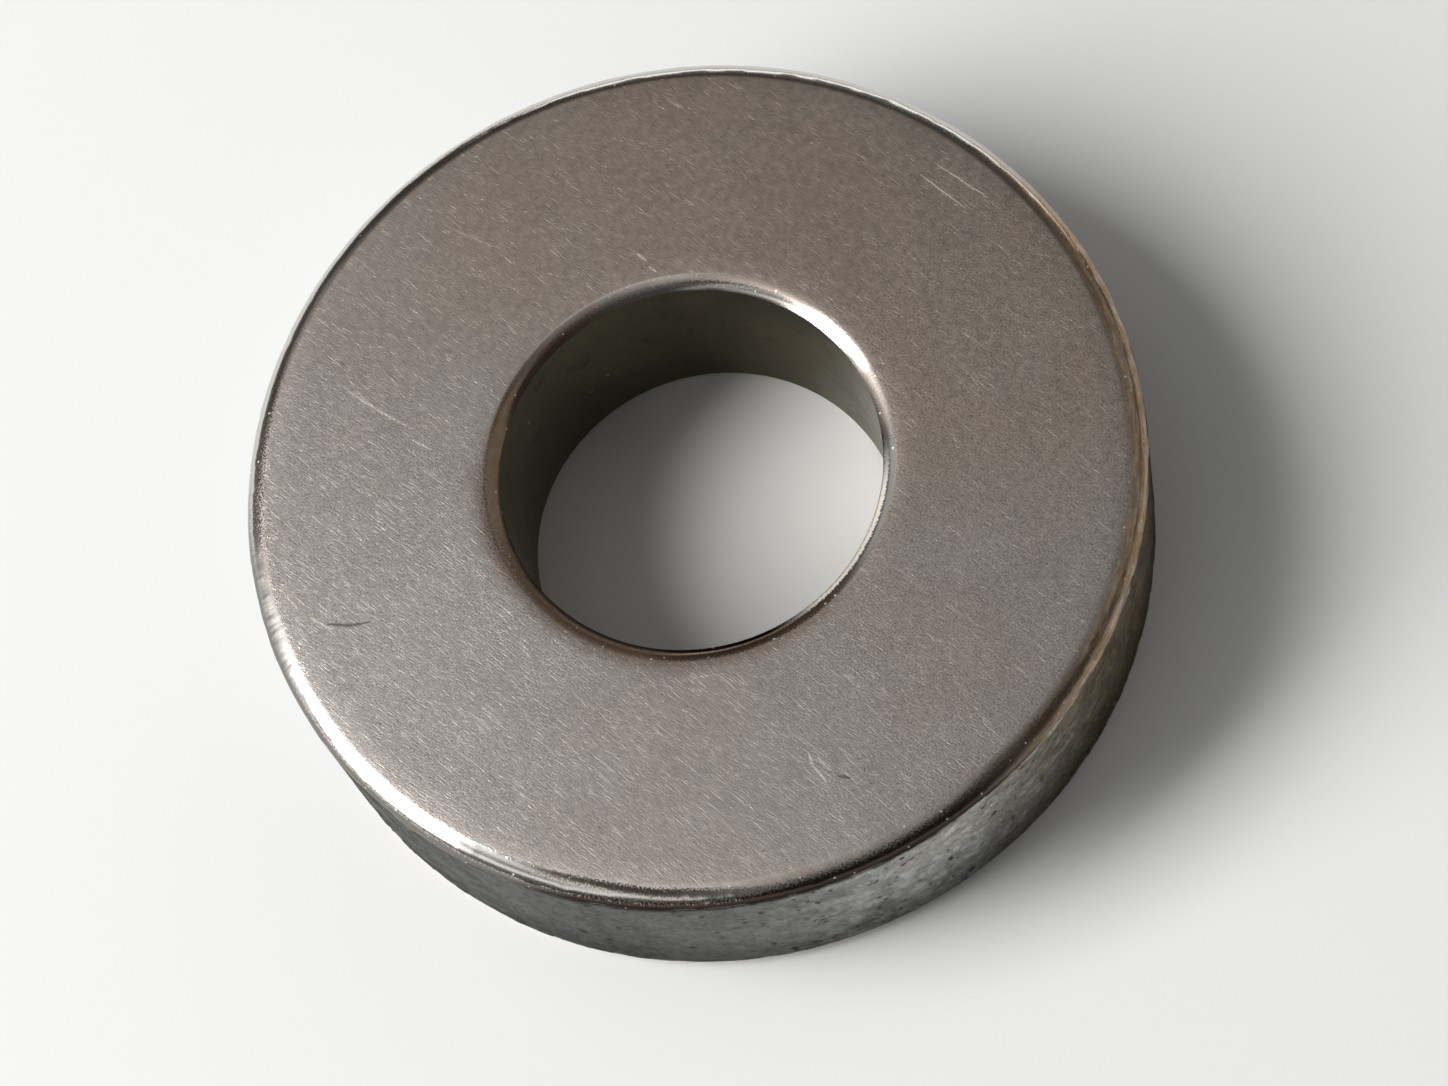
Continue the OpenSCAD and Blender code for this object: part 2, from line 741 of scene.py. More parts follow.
    @cached_property
    def around(self) -> NodeTree:
        """Builds a mask for one part of the way round the ring.

        Returns:
            The group.
        """
        b, given = open_group("part of the way round", {"Vector": VECTOR, "Bearing": 0.0, "Spread": 60.0,
                                                        "Soft": 30.0}, {"Mask": FLOAT})
        x, y, _ = b.split(given["Vector"])
        bearing = b.math("RADIANS", given["Bearing"])
        aim = b.join(b.math("COSINE", bearing), b.math("SINE", bearing))
        near = b.vector("DOT_PRODUCT", b.vector("NORMALIZE", b.join(x, y)), aim)
        away = b.math("DEGREES", b.math("ARCCOSINE", (near | -1.0) & 1.0))
        spread = given["Spread"]
        b.add("NodeGroupOutput", {"Mask": b.ramp(away, spread, spread + given["Soft"], 1, 0)})
        return b.tree


# Finishes
@dataclass(frozen=True)
class Mark:
    """One scratch that can be told apart on the upper face, in millimetres from the axis."""

    start: Tuple[float, float]
    end: Tuple[float, float]
    width: float = 0.05
    bow: float = 0.0
    broken: float = 0.3
    strength: float = 1.0
    tone: Tone = Tone.BRIGHT


UPPER_MARKS: Tuple[Mark, ...] = (
    Mark((7.14, 4.54), (7.76, 3.38), 0.036, broken=0.2),
    Mark((7.54, 4.7), (8.33, 3.39), 0.036, broken=0.2),
    Mark((-6.6, 4.8), (-5.45, 3.2), 0.055, bow=0.05, strength=0.9),
    Mark((-6.35, 4.6), (-6.15, 4.05), 0.04, strength=0.6),
    Mark((-5.6, 4.85), (-5.35, 4.35), 0.04, strength=0.6, tone=Tone.DARK),
    Mark((-6.5, 5.45), (-6.4, 5.25), 0.045, strength=0.8, tone=Tone.DARK),
    Mark((-5.55, 2.95), (-5.2, 2.55), 0.045, strength=0.9),
    Mark((-8.62, -0.46), (-7.72, -0.78), 0.08, bow=0.05, broken=0.0, tone=Tone.DARK),
    Mark((-8.95, -0.1), (-8.55, -0.6), 0.045, bow=0.04, strength=0.9),
    Mark((0.15, -7.25), (0.15, -7.55), 0.055),
    Mark((0.15, -7.55), (0.3, -8.0), 0.06),
    Mark((0.3, -7.4), (0.45, -7.8), strength=0.8),
    Mark((0.55, -7.95), (0.8, -8.1), 0.07, broken=0.0, tone=Tone.DARK),
    Mark((0.6, 5.25), (0.75, 5.0), 0.06),
    Mark((0.75, 4.85), (0.85, 4.65)),
    Mark((-3.2, 7.65), (-2.25, 6.6), 0.045, strength=0.35),
    Mark((6.3, -0.05), (6.55, -0.95), 0.04, strength=0.4),
)


@dataclass(frozen=True)
class Strokes:
    """One field of fine strokes on the faces, turned from the grain by so many radians.

    length and width are their spacing in millimetres, and share and dark are how many there are and how
    many of those are dark.
    """

    turn: float
    length: float
    width: float
    seed: float
    share: float
    dark: float


@dataclass(frozen=True)
class Surface:
    """What the three finishes have in common, with their usual roughness and colour."""

    name: str
    roughness: float
    colour: Colour

    def build(self, effects: Effects) -> Material:
        """Makes the material.

        Args:
            effects: The shared groups.

        Returns:
            The material.
        """
        material = bpy.data.materials.new(self.name)
        material.use_nodes = True
        material.diffuse_color = (*self.colour, 1.0)
        material.node_tree.nodes.clear()
        self.dress(Coat(material.node_tree, effects))
        return material

    def dress(self, b: "Coat") -> None:
        """Adds the finish's own nodes.

        Args:
            b: A bench on the new material.
        """
        raise NotImplementedError


class Coat(Bench):
    """A bench on one finish's material, with its shader and the place on the ring in millimetres."""

    def __init__(self, tree: NodeTree, effects: Effects) -> None:
        """Adds the shader and finds the place.

        Args:
            tree: The material's tree.
            effects: The shared groups.
        """
        super().__init__(tree)
        self.effects = effects
        self.shader = self.add("ShaderNodeBsdfPrincipled", {"Metallic": 1.0})
        self.add("ShaderNodeOutputMaterial", {"Surface": self.shader[0]})
        self.mm = self.vector("SCALE", self.add("ShaderNodeTexCoord")["Object"], 1.0 / MM)

    def effect(self, group: NodeTree, **inputs: Value) -> Step:
        """Puts a shared group into the finish. It is read at the place on the ring if nothing else is said.

        Args:
            group: The group.
            inputs: Values or signals, by the input's name in small letters.

        Returns:
            The group's node.
        """
        node = self.tree.nodes.new("ShaderNodeGroup")
        node.node_tree = group
        for name, value in {"vector": self.mm, **inputs}.items():
            self.feed(node.inputs[title(name)], value)
        return Step(self, node)

    def part(self, bearing: float, spread: float, soft: float) -> Signal:
        """Places the mask for a part of the way round.

        Args:
            bearing: Middle of the part, in degrees from +X.
            spread: How far to each side it is full.
            soft: How far beyond that it fades out.

        Returns:
            The mask.
        """
        return self.effect(self.effects.around, bearing=bearing, spread=spread, soft=soft)[0]

    def finish(self, **inputs: Value) -> None:
        """Feeds the shader.

        Args:
            inputs: Values or signals, by the input's name in small letters.
        """
        for name, value in inputs.items():
            self.feed(self.shader.node.inputs[title(name)], value)

    def bump(self, strength: float, depth: float, relief: Signal) -> Signal:
        """Turns a relief into a normal.

        Args:
            strength: How strongly it shows.
            depth: Its depth, in metres.
            relief: The relief.

        Returns:
            The normal.
        """
        return self.add("ShaderNodeBump", {"Strength": strength, "Distance": depth, "Height": relief})[0]


class Ground:
    """What the steps of the plate's finish go by.

    away and bearing tell the place round the axis, turned how far the surface has turned from face to
    wall, upper, rim and bore the halves of the ring, and plane and bent the place on a face. sand, grit,
    patch and grain are noises: fine, the same from -1 to 1, softer, and drawn out along the grain.
    """

    def __init__(self, b: Coat, way: float) -> None:
        """Adds the nodes that give them.

        Args:
            b: A bench on the plate's material.
            way: The way that the grain runs, in radians.
        """
        x, y, height = b.split(b.mm)
        self.turned = b.add("ShaderNodeAttribute", attribute_name="edge_turn")["Fac"]
        self.away = b.vector("LENGTH", b.join(x, y))
        self.bearing = b.math("ARCTAN2", y, x)
        self.bore = self.away < MIDWAY
        self.rim = 1.0 - self.bore
        self.upper = height > HALFWAY_UP
        self.plane = b.join(x + self.upper * FACES_APART, y)
        bend = b.vector("SUBTRACT", b.noise(self.plane, 2.6, 1.0, flat=True, out="Color"), (0.5, 0.5, 0.5))
        self.bent = b.vector("ADD", self.plane, b.vector("SCALE", bend, 0.03))
        self.sand = b.noise(self.plane, 23.0, 1.0, 0.7, flat=True)
        self.grit = b.swing(self.sand, -1.0, 1.0)
        self.patch = b.ramp(b.noise(self.plane, 2.4, 2.0, 0.6, flat=True), 0.3, 0.7)
        drawn = b.add("ShaderNodeVectorRotate", {"Vector": self.bent, "Angle": -way},
                      rotation_type="Z_AXIS")[0]
        self.grain = b.noise(b.vector("MULTIPLY", drawn, (1.0, 4.5, 1.0)), 6.0, 1.0, flat=True)


@dataclass(frozen=True)
class SatinPlate(Surface):
    """Satin nickel on the two faces, polished where it runs round the edges, with brown and dark bands on
    the edges that are partly worn plate and partly painted reflection and shade.
    """

    name: str = "satin nickel plate"
    roughness: float = 0.42
    colour: Colour = (0.45, 0.412, 0.383)
    warm: Colour = (0.39, 0.322, 0.27)
    fresh: Colour = (0.79, 0.72, 0.645)
    scuff: Colour = (0.2, 0.19, 0.18)
    dirt: Colour = (0.16, 0.13, 0.11)
    bronze: Colour = (0.46, 0.31, 0.18)
    brown: Colour = (0.19, 0.125, 0.08)
    umber: Colour = (0.085, 0.058, 0.034)
    tarnish: Colour = (0.06, 0.046, 0.034)
    soot: Colour = (0.01, 0.008, 0.006)
    edge: Colour = (0.66, 0.63, 0.585)
    edge_roughness: float = 0.17
    hazy_roughness: float = 0.38
    worn_roughness: float = 0.55
    grain_way: float = 125.0
    strokes: Tuple[Strokes, ...] = (
        Strokes(turn=0.0, length=0.4, width=0.034, seed=1.0, share=0.5, dark=0.5),
        Strokes(turn=0.26, length=0.22, width=0.036, seed=7.0, share=0.38, dark=0.5),
        Strokes(turn=-0.14, length=0.9, width=0.032, seed=13.0, share=0.34, dark=0.35),
    )

    def dress(self, b: Coat) -> None:
        """Adds the plate's own nodes.

        Args:
            b: A bench on the new material.
        """
        part, g = b.part, Ground(b, math.radians(self.grain_way))
        turned, rim, bore = g.turned, g.rim, g.bore
        marked, cuts = self._marks(b, g)

        # how far the polish reaches in from the edges, and where it is ragged, late or hazy
        inset = (b.ramp(g.away, 8.9, 9.5, -0.6, 0.0, smooth=False)
                 | b.ramp(g.away, 4.6, 5.2, 0.0, -0.6, smooth=False))
        ragged = turned + inset + g.grit * (0.1 + part(175, 12, 18) * 0.45)
        blunt = part(-95, 17, 12) * rim
        late = part(-62, 34, 18) * 0.1 + blunt * 0.17
        shift = (part(-126, 14, 14) * 0.17 - late) * rim * b.ramp(turned, 0.0, 0.06)
        inner = part(52, 14, 14) * bore
        halo = part(88, 22, 34) * bore * b.ramp(ragged, 0.35, 0.6, 1, 0)
        polish = b.ramp(ragged + shift - inner * 0.24, 0.04, 0.21) * (1.0 - halo * 0.7)
        # edges rubbed through, and nicks
        chafed = b.ramp(ragged, 0.52, 0.64) * part(-50, 16, 22) * bore
        chafed = chafed * b.ramp(ragged, 0.84, 0.96, 1.0, 0.45)
        hairy = part(180, 6, 9) * rim * b.ramp(turned, 0.0, 0.12)
        near, chance, _ = b.cells(b.mm, 4.6)
        nick = b.ramp(near, 0.04, 0.17, 1, 0) * b.ramp(chance, 0.42, 0.55) * b.ramp(turned, 0.04, 0.12)

        # painted shade and dark reflection: brown lines where the faces end, a brown band by the bore on
        # the left and a darker bore edge round 0° and 52°; and fine hairs at the far left
        stretch = part(124, 22, 20) * 0.26 + part(15, 10, 16) * 0.14
        brink = b.ramp(ragged - stretch, 0.11, 0.22, 1, 0) * part(68, 38, 62)
        verge = part(-132, 52, 26) * b.ramp(g.away, 4.95, 4.6) * b.ramp(turned, 0.1, 0.3, 1, 0)
        shaded_inner_edge = inner * 0.75 * (b.ramp(turned, 0.0, 0.12) * b.ramp(turned, 0.5, 0.7, 1.0, 0.3))
        shaded_bore_edge = (part(-2, 8, 9) * b.ramp(turned, 0.0, 0.15) | shaded_inner_edge) * bore
        hair = b.noise(b.join(g.bearing * 90.0, g.away), 1.0, 1.0, flat=True)
        colour = b.layers(
            self._flat(b, g, marked),
            # painted highlight: a pale halo along the bore's edge round 88°
            (halo * b.ramp(turned, 0.0, 0.05) * 0.45, self.fresh),
            (polish, self._edge(b, g)),
            # painted dark reflection and shade, in umber, brown and the dirt colour
            (brink * b.ramp(g.away, 9.47, 9.57) * 0.75, self.umber),
            (verge * bore * 0.5, self.brown),
            (shaded_bore_edge * b.swing(g.sand, 0.75, 1.0), self.dirt),
            (hairy * b.ramp(hair, 0.25, 0.7, 1.0, 0.35, smooth=False), self.scuff),
            (chafed | nick * 0.8, self.fresh))

        # the edges are smooth, but for the hazy parts
        rough = self.roughness + b.ramp(g.patch, 0.0, 1.0, 0.02, -0.02, smooth=False)
        rough = rough + marked[Tone.BRIGHT] * 0.1 + blunt * b.ramp(turned, 0.0, 0.14) * 0.13
        hazy = hairy
        for there in (part(-1, 7, 9) * bore, part(-145, 22, 16) * bore,
                      part(-30, 30, 18) * b.ramp(turned, 0.45, 0.65) * rim):
            hazy = hazy | there
        rough = b.blend(polish, rough, b.blend(hazy, self.edge_roughness, self.hazy_roughness))
        relief = (g.sand + g.grain) * b.ramp(turned, 0.03, 0.25, 0.5, 0.12) - cuts
        b.finish(base_color=colour, metallic=1.0 - (chafed | nick * 0.9) * 0.5,
                 roughness=b.blend(chafed | nick, rough, self.worn_roughness),
                 normal=b.bump(0.5, 0.008 * MM, relief))

    def _marks(self, b: Coat, g: Ground) -> Tuple[Dict[Tone, Signal], Signal]:
        """Scatters the fine strokes and draws the single scratches.

        Args:
            b: The material's bench.
            g: What the steps go by.

        Returns:
            The bright and the dark marks, and how deep the strokes are cut.
        """
        amount = 0.32 + b.part(-138, 38, 66) * 0.68
        bright: Value = 0.0
        dark: Value = 0.0
        for s in self.strokes:
            out = b.effect(b.effects.strokes, vector=g.bent, angle=math.radians(self.grain_way) + s.turn,
                           length=s.length, width=s.width, seed=s.seed, amount=amount * s.share)
            lit = b.ramp(out["Chance"], s.dark - 0.1, s.dark + 0.1)
            bright = bright | out["Mask"] * lit
            dark = dark | out["Mask"] * (1.0 - lit)
        face = b.ramp(g.turned, 0.0, 0.1, 1, 0)
        cuts = (bright + dark) * 0.36 * face
        marked = {Tone.BRIGHT: bright * 0.24, Tone.DARK: dark * 0.26}
        wander = (g.patch - 0.5) * 0.02
        for mark in UPPER_MARKS:
            mask = b.effect(b.effects.scratch, start=(*mark.start, 0.0), end=(*mark.end, 0.0),
                            width=mark.width, bow=mark.bow, broken=mark.broken, wander=wander,
                            grit=g.sand)[0]
            marked[mark.tone] = marked[mark.tone] | mask * g.upper * (face * mark.strength)
        return marked, cuts

    def _flat(self, b: Coat, g: Ground, marked: Mapping[Tone, Signal]) -> Signal:
        """Colours the flat faces.

        Args:
            b: The material's bench.
            g: What the steps go by.
            marked: The bright and the dark marks.

        Returns:
            The colour.
        """
        part, plane = b.part, g.plane
        # warmer and darker where it is worn, partly painted shade on the side away from the key
        worn = part(45, 30, 110)
        cloud = b.ramp(b.noise(plane, 0.3, 2.0, flat=True), 0.35, 0.65)
        toned = (cloud * 0.15 + worn * 0.9 + part(-98, 26, 34) * 0.28).clamp()
        # mottled, sandy and grained, each in its own strength
        mottle = b.swing(b.noise(plane, 4.8, 1.0, flat=True), -1.0, 1.0) * (0.045 + worn * 0.075)
        drift = b.swing(b.noise(plane, 0.85, 1.0, flat=True), -0.04, 0.04)
        gritty = 0.05 + part(-30, 40, 40) * 0.3 + part(-172, 28, 38) * 0.28
        # the face is a little lighter round -45°: painted light
        shade = 0.915 + g.patch * 0.13 + part(-45, 45, 40) * 0.03 + mottle + drift
        shade = shade + g.grit * gritty + b.swing(g.grain, -0.08, 0.08)
        near, chance, _ = b.cells(plane, 2.3, flat=True)
        speck = b.ramp(near, 0.03, 0.075, 1, 0) * b.ramp(chance, 0.7, 0.85)
        return b.layers(b.tint(b.layers(self.colour, (toned, self.warm)), shade),
                        ((marked[Tone.BRIGHT] * 0.8).clamp(), self.fresh),
                        ((marked[Tone.DARK] * 0.9).clamp(), self.dirt), (speck * 0.5, self.dirt))

    def _edge(self, b: Coat, g: Ground) -> Signal:
        """Colours the polished edges: bright plate, brown in parts as worn plate and painted warm
        reflection, and dark by the walls and creases as painted shade and dark reflection.

        Args:
            b: The material's bench.
            g: What the steps go by.

        Returns:
            The colour.
        """
        part, turned, rim, bore = b.part, g.turned, g.rim, g.bore
        # bronze bands, along the rim on the right and round most of the bore: partly worn plate, partly a
        # painted warm reflection
        loose = turned + b.swing(g.sand, -0.12, 0.12)
        at_rim = part(-22, 32, 26) * rim
        at_bore = part(-158, 84, 32) * bore
        rubbed = (at_rim + at_bore) * b.ramp(g.sand + g.patch, 0.5, 1.4, 0.7, 1.0)
        streak = b.noise(b.join(g.bearing * 14.0, turned * 7.0), 1.0, 2.0, 0.65, flat=True)
        # thin brown lines that follow the edge: painted dark reflection
        lagged = loose - part(-102, 8, 12) * 0.16
        lip = b.ramp(lagged, 0.03, 0.12) * b.ramp(lagged, 0.22, 0.36, 1, 0)
        lip = lip * (part(-119, 6, 9) * 0.8 | part(160, 14, 14) * 0.85)
        trench = b.ramp(loose, 0.24, 0.4) * b.ramp(loose, 0.5, 0.66, 1, 0) * part(-66, 9, 12)
        # darker towards the walls, most of all at the front: painted shade and dark reflection
        inner = b.ramp(loose, -0.05, 0.4) * at_bore * (0.55 + part(-128, 38, 24) * 0.45)
        low = b.ramp(loose + part(-82, 10, 16) * 0.14, 0.52, 0.74)
        front = part(-98, 24, 24) * rim
        amount = rim * 0.15 + front * 0.85 | part(-160, 30, 18) * rim * 0.72
        side = part(95, 35, 20) * 0.6 | part(-120, 42, 22) * 0.93
        crease = b.ramp(turned, 0.97, 0.99)
        return b.layers(
            self.edge,
            # partly worn plate, partly a painted warm reflection
            ((rubbed * 0.95).clamp(), self.bronze),
            (b.ramp(streak, 0.62, 0.42) * (at_rim * 0.5), self.brown),
            # painted dark reflection in brown lines along the edges
            (lip * rim, self.brown),
            (trench * 0.75 * rim, self.brown),
            (inner, self.brown),
            # painted shade and dark reflection towards the walls, and bronze and dark lines along the
            # creases
            ((low * (amount + side * bore)).clamp(), self.tarnish),
            (b.ramp(turned, 0.78, 0.9) * front * 0.92, self.soot),
            (crease * rim * (0.8 - part(-108, 30, 12) * 0.75), self.bronze),
            (crease * bore * 0.7, self.tarnish))


@dataclass(frozen=True)
class PittedRim(Surface):
    """Nickel on the rim, duller than the faces, with pits and cloudy stains, painted shade on the left and
    towards the floor, and pale specks and patches that are partly painted light.
    """

    name: str = "pitted nickel rim"
    roughness: float = 0.4
    colour: Colour = (0.57, 0.575, 0.555)
    grey: Colour = (0.2, 0.2, 0.193)
    stain: Colour = (0.25, 0.205, 0.14)
    soot: Colour = (0.018, 0.014, 0.01)
    sheen: Colour = (0.45, 0.45, 0.44)
    pit: Colour = (0.035, 0.03, 0.024)
    rubbed: Colour = (0.62, 0.60, 0.56)

    def dress(self, b: Coat) -> None:
        """Adds the rim's own nodes.

        Args:
            b: A bench on the new material.
        """
        part, height, effects = b.part, b.split(b.mm)[2], b.effects
        low = b.vector("MULTIPLY", b.mm, (1.0, 1.0, 0.7))
        cloud = b.effect(effects.cloud, vector=low, scale=0.75, seed=5.0)[0]
        patch = b.effect(effects.cloud, vector=low, scale=2.4, low=0.34, high=0.66, seed=8.0)[0]
        fine = b.noise(b.mm, 8.5, 3.0, 0.65)
        # pits of two sizes, fewer on the left and where the rim is stained on the right
        left, right = part(-165, 45, 40), part(-12, 34, 36)
        clear = 1.0 - (left * 0.75 + right).clamp() * 0.6
        crowd = b.ramp(cloud + patch, 0.25, 1.3, 0.25, 1.0)
        wide = b.effect(effects.pits, spacing=0.42, squash=0.75, amount=0.5, size=0.34, seed=2.0)[0]
        close = b.effect(effects.pits, spacing=0.2, squash=0.8, amount=0.6, size=0.46, seed=6.0)[0]
        glints = b.effect(effects.pits, spacing=0.3, squash=0.8, amount=0.4, size=0.34, seed=21.0)[0]
        hollow = wide | close * 0.8
        hollow = hollow * (clear * crowd)

        # grey clouds, heavier on the left as painted shade, a brown stain on the right, a painted pale
        # patch high round -68°, and painted shade towards the floor at the front and in parts of the way
        # round
        lively = 0.34 + part(-78, 16, 14) * 0.22
        dull = (cloud * 0.36 + patch * lively) * (1.0 - part(-125, 18, 20) * 0.5) + left * 0.5
        brown = right * b.ramp(cloud + patch, 0.1, 1.2, 0.8, 1.0)
        colour = b.layers(self.colour, (dull.clamp(), self.grey),
                          (part(-68, 10, 18) * b.ramp(height, 2.0, 4.0) * 0.5, self.rubbed),
                          (brown, self.stain))
        painted_shade_factor = b.blend(part(-90, 45, 35), 1.0, b.ramp(height, 0.4, 2.7, 0.48, 1.0))
        for bearing, spread, soft, shade in ((-138.0, 28.0, 26.0, 0.6), (-176.0, 14.0, 26.0, 0.8),
                                             (-8.0, 12.0, 14.0, 0.5)):
            painted_shade_factor = painted_shade_factor * b.blend(part(bearing, spread, soft), 1.0, shade)
        # fine specks, and the line below the upper crease: painted shade in front, worn bright beside it
        speckled = 0.3 + part(-62, 10, 14) * 0.2
        speckled = b.ramp(fine, 0.25, 0.75, -1.0, 1.0, smooth=False) * speckled
        brim = b.ramp(height, 4.38, 4.58) * b.ramp(fine, 0.3, 0.6, 0.5, 1.0)
        colour = b.layers(
            # painted shade: darker towards the floor at the front and in parts of the way round
            b.tint(colour, painted_shade_factor * (1.0 + speckled)),
            (glints * part(-38, 16, 16) * 0.35, self.rubbed),
            (part(-102, 20, 20) * brim * 0.93, self.soot),
            (part(-52, 14, 14) * brim * 0.95, self.rubbed),
            ((hollow * 0.95).clamp(), self.pit))
        b.finish(base_color=colour, roughness=self.roughness + b.ramp(patch, 0.0, 1.0, -0.05, 0.1),
                 specular_tint=(*self.sheen, 1.0), normal=b.bump(0.6, 0.02 * MM, fine * 0.4 - hollow))


@dataclass(frozen=True)
class DullBore(Surface):
    """Thin dark plate in the bore, where tumbling doesn't reach, made darker still as painted shade, with a
    painted highlight down the wall round 0°.
    """

    name: str = "dull dark bore"
    roughness: float = 0.48
    # dark partly as the plate's own colour and partly as painted shade
    colour: Colour = (0.135, 0.12, 0.07)
    pale: Colour = (0.19, 0.175, 0.125)
    stain: Colour = (0.07, 0.05, 0.03)
    rubbed: Colour = (0.33, 0.32, 0.285)
    speck: Colour = (0.45, 0.43, 0.38)

    def dress(self, b: Coat) -> None:
        """Adds the bore's own nodes.

        Args:
            b: A bench on the new material.
        """
        cloud = b.effect(b.effects.cloud, scale=0.7, seed=2.0)[0]
        spot = b.effect(b.effects.cloud, scale=1.3, low=0.6, high=0.75, seed=9.0)[0]
        sand = b.noise(b.mm, 11.0, 2.0, 0.6)
        speck = b.effect(b.effects.pits, spacing=0.5, squash=1.2, amount=0.25, size=0.16, seed=12.0)[0]
        streak = b.noise(b.vector("MULTIPLY", b.mm, (5.0, 5.0, 1.2)), 1.0, 2.0, 0.6)
        # painted highlight down the wall round 0°, in a pale colour
        side = b.part(-6, 2, 44) ** 2.1 * b.ramp(streak, 0.3, 0.7, 0.7, 1.0)
        colour = b.layers(self.colour, (cloud * 0.45, self.pale), (spot * 0.45, self.stain),
                          (b.part(58, 14, 30) * 0.4, self.stain), (side, self.rubbed))
        colour = b.tint(colour, b.ramp(sand, 0.25, 0.75, 0.9, 1.1, smooth=False))
        b.finish(base_color=b.layers(colour, (speck * 0.7, self.speck)),
                 roughness=self.roughness + b.ramp(cloud, 0.0, 1.0, -0.06, 0.1),
                 normal=b.bump(0.35, 0.012 * MM, sand))


def stand(name: str, data: ID) -> Object:
    """Puts a mesh, a light or a camera into the scene.

    Args:
        name: The object's name.
        data: What it shows.

    Returns:
        The object.
    """
    thing = bpy.data.objects.new(name, data)
    bpy.context.scene.collection.objects.link(thing)
    return thing


# The magnet
@dataclass(frozen=True)
class Disc:
    """Where a face lies when the surface is laid out flat. A negative radius mirrors it."""

    across: float
    up: float
    radius_across: float
    radius_up: float


@dataclass
class RingMagnet:
    """The whole ring: one closed plated body, with a finish for each zone.

    upper and lower say where the faces lie when the surface is laid out flat.
    """

    size: RingSize
    wear: Wear = Wear()
    finishes: Tuple[Surface, ...] = (SatinPlate(), PittedRim(), DullBore())
    upper: Disc = Disc(0.338, 0.338, 0.328, 0.328)
    lower: Disc = Disc(0.76, 0.835, -0.155, 0.155)

    def build(self, effects: Effects) -> Object:
        """Turns the ring and dresses it.

        Args:
            effects: The shared shader groups.

        Returns:
            The finished piece.
        """
        tree = TurnedRing().build()
        shell = stand("ring_shell", bpy.data.meshes.new("ring_shell"))
        modifier = shell.modifiers.new("turned ring", "NODES")
        modifier.node_group = tree
        values = {title(name): value for name, value in {**asdict(self.size), **asdict(self.wear)}.items()}
        values["Turn Steps"] = TurnedRing.turns
        for zone, finish in zip(Zone, self.finishes):
            values[title(f"{zone.name} finish")] = finish.build(effects)
        for item in tree.interface.items_tree:
            if item.in_out == "INPUT":
                modifier[item.identifier] = values[item.name]
        graph = bpy.context.evaluated_depsgraph_get()
        mesh = bpy.data.meshes.new_from_object(shell.evaluated_get(graph))
        mesh.name = "ring_magnet_plated"
        bpy.data.objects.remove(shell)
        self._unroll(mesh)
        return stand("ring_magnet_plated", mesh)

    def _unroll(self, mesh: Mesh) -> None:
        """Lays the surface out flat: two discs for the faces and straight strips for the rim and the bore.

        Args:
            mesh: The finished mesh.
        """
        s = self.size
        layer = mesh.uv_layers.get("OFBake") or mesh.uv_layers.new(name="OFBake")
        full = 2.0 * math.pi
        strip = full / 3.0
        for face in mesh.polygons:
            middle = math.atan2(face.center.x, -face.center.y)
            zone = list(Zone)[face.material_index]
            row = min(2, int((middle + math.pi) / strip))
            disc = self.upper if face.center.z > s.thickness / 2 else self.lower
            for corner in face.loop_indices:
                place = mesh.vertices[mesh.loops[corner].vertex_index].co
                turn = math.atan2(place.x, -place.y)
                turn += full * round((middle - turn) / full) + math.pi
                up = place.z / s.thickness
                if zone is Zone.RIM:
                    at = (0.012 + 0.5 * (turn - row * strip) / strip, 0.683 + 0.104 * row + 0.1 * up)
                elif zone is Zone.BORE:
                    at = (0.73 + 0.11 * up, 0.012 + 0.64 * turn / full)
                else:
                    at = (disc.across + disc.radius_across * place.x / s.rim_radius,
                          disc.up + disc.radius_up * place.y / s.rim_radius)
                layer.data[corner].uv = at


# Studio and camera
@dataclass(frozen=True)
class SoftBox:
    """A square soft light that faces the ring.

    bearing counts from +X, rise from the floor and lean sideways, all in degrees. The rest is in metres,
    but for glow, which is how bright its face is.
    """

    name: str
    bearing: float
    rise: float
    away: float
    width: float
    height: float
    glow: float
    lean: float = 0.0

    def build(self) -> None:
        """Makes the light."""
        lamp = bpy.data.lights.new(self.name, "AREA")
        lamp.shape = "RECTANGLE"
        lamp.size, lamp.size_y = self.width, self.height
        lamp.energy = self.glow * math.pi * self.width * self.height
        light = stand(self.name, lamp)
        turn, tilt = math.radians(self.bearing), math.radians(self.rise)
        out = Vector((math.cos(turn) * math.cos(tilt), math.sin(turn) * math.cos(tilt), math.sin(tilt)))
        light.matrix_world = (Matrix.Translation(out * self.away)
                              @ out.to_track_quat("Z", "Y").to_matrix().to_4x4()
                              @ Matrix.Rotation(math.radians(self.lean), 4, "Z"))
        light.visible_camera = False


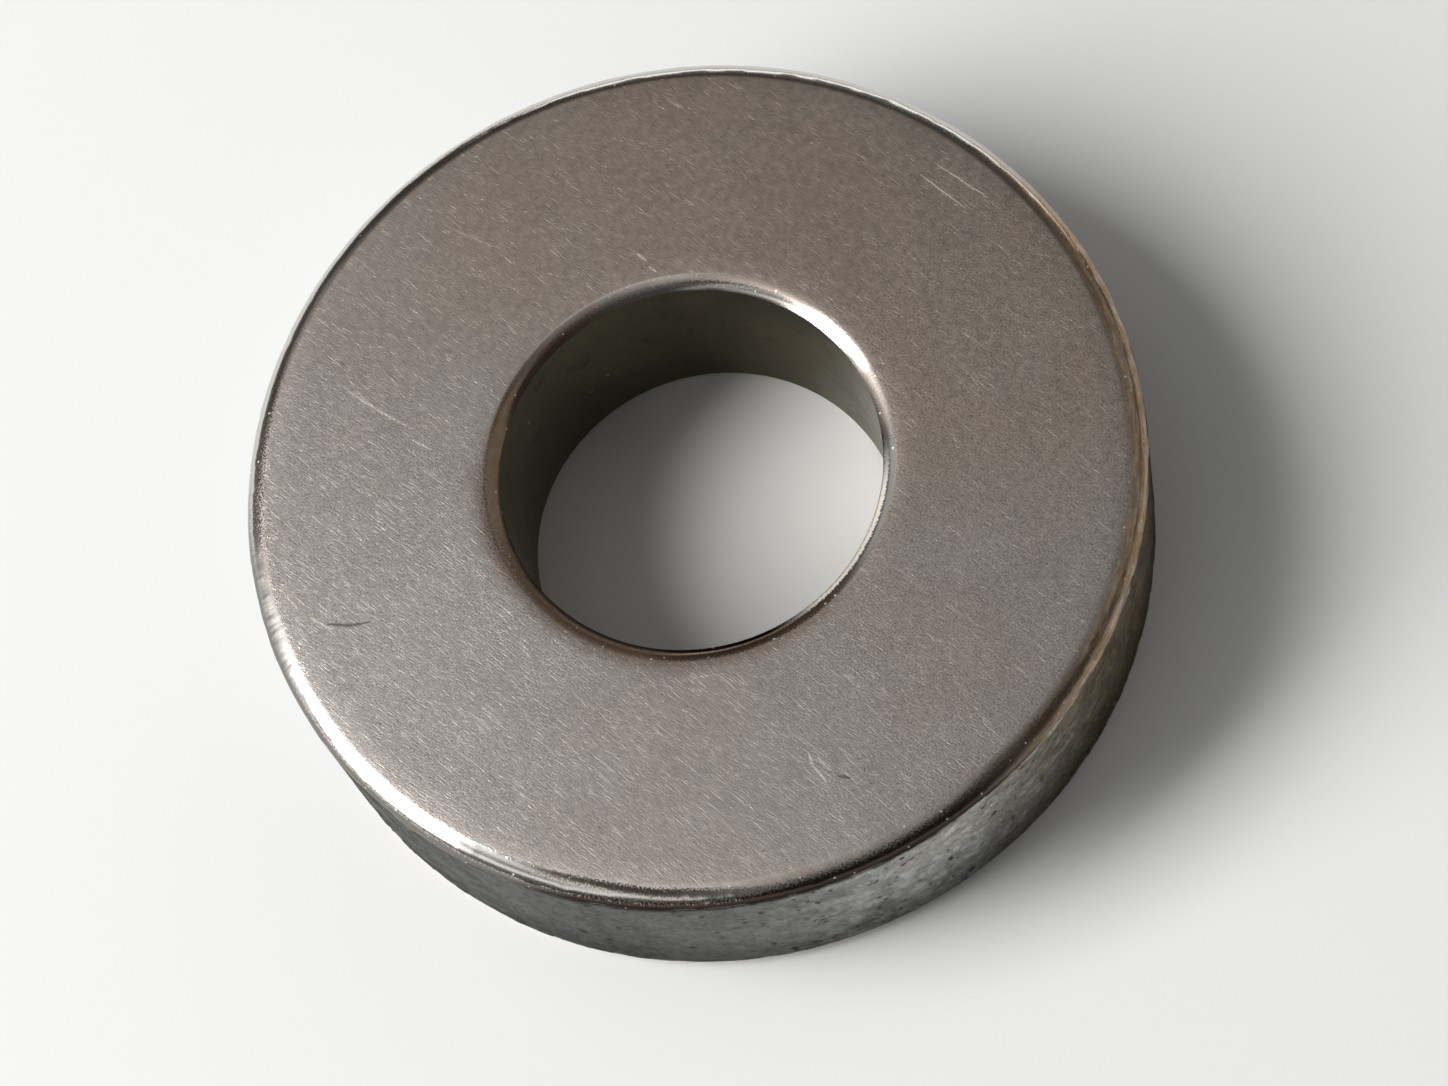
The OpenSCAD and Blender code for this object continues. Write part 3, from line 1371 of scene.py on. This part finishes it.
@dataclass
class Studio:
    """Plain pale floor, soft lights and an even surround."""

    floor_span: float = 3.0
    floor_colour: Colour = (0.80, 0.80, 0.79)
    surround: float = 0.12
    boxes: Tuple[SoftBox, ...] = (
        SoftBox("key soft box", 176.0, 36.0, 0.34, 0.145, 0.355, 12.0, lean=28.0),
        SoftBox("side strip", -143.0, 46.0, 0.42, 0.51, 0.075, 0.7, lean=-38.5),
        SoftBox("high fill", 125.0, 58.0, 0.5, 0.25, 0.6, 0.29),
        SoftBox("wide fill", 15.0, 38.0, 0.5, 0.6, 0.5, 0.2),
        SoftBox("low strip", -150.0, 28.0, 0.5, 0.3, 0.12, 0.8),
        SoftBox("back strip", 65.0, 9.0, 0.5, 0.6, 0.09, 1.45),
    )

    def build(self) -> None:
        """Makes the floor, the lights and the world."""
        half = self.floor_span / 2
        mesh = bpy.data.meshes.new("floor")
        mesh.from_pydata([(-half, -half, 0), (half, -half, 0), (half, half, 0), (-half, half, 0)], [],
                         [(0, 1, 2, 3)])
        floor = stand("floor", mesh)
        paint = bpy.data.materials.new("pale floor")
        paint.use_nodes = True
        shader = paint.node_tree.nodes["Principled BSDF"]
        shader.inputs["Base Color"].default_value = (*self.floor_colour, 1.0)
        shader.inputs["Roughness"].default_value = 0.9
        shader.inputs["Specular IOR Level"].default_value = 0.1
        mesh.materials.append(paint)
        for box in self.boxes:
            box.build()
        world = bpy.data.worlds.new("even surround")
        world.use_nodes = True
        back = world.node_tree.nodes["Background"]
        back.inputs["Color"].default_value = (self.surround, self.surround, self.surround, 1.0)
        back.inputs["Strength"].default_value = 1.0
        bpy.context.scene.world = world


@dataclass(frozen=True)
class Viewpoint:
    """Where the camera stands, in millimetres and degrees."""

    place: Tuple[float, float, float] = (0.09, -33.63, 81.04)
    rise: float = 67.45
    roll: float = -21.11
    lens: float = 94.5

    def build(self) -> None:
        """Makes the camera and gives it to the scene."""
        data = bpy.data.cameras.new("camera")
        data.sensor_fit = "HORIZONTAL"
        data.sensor_width = 36.0
        data.lens = self.lens
        data.clip_start, data.clip_end = 0.001, 20.0
        camera = stand("camera", data)
        camera.matrix_world = (Matrix.Translation(Vector(self.place) * MM)
                               @ Matrix.Rotation(math.radians(90.0 - self.rise), 4, "X")
                               @ Matrix.Rotation(math.radians(self.roll), 4, "Z"))
        bpy.context.scene.camera = camera


def main() -> None:
    """Builds the camera, the studio and the magnet, and reports each piece."""
    logging.basicConfig(level=logging.INFO, format="%(name)s: %(message)s")
    scene = bpy.context.scene
    scene.view_settings.view_transform = "Standard"
    Viewpoint().build()
    Studio().build()
    magnet = RingMagnet(RingSize.from_frame("ring_magnet", "bore")).build(Effects())
    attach(magnet, "root")
    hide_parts("ring_magnet")
    triangles = sum(len(face.vertices) - 2 for face in magnet.data.polygons)
    LOG.info("%s: %d triangles, %d finishes", magnet.name, triangles, len(magnet.data.materials))


if __name__ == "__main__":
    main()
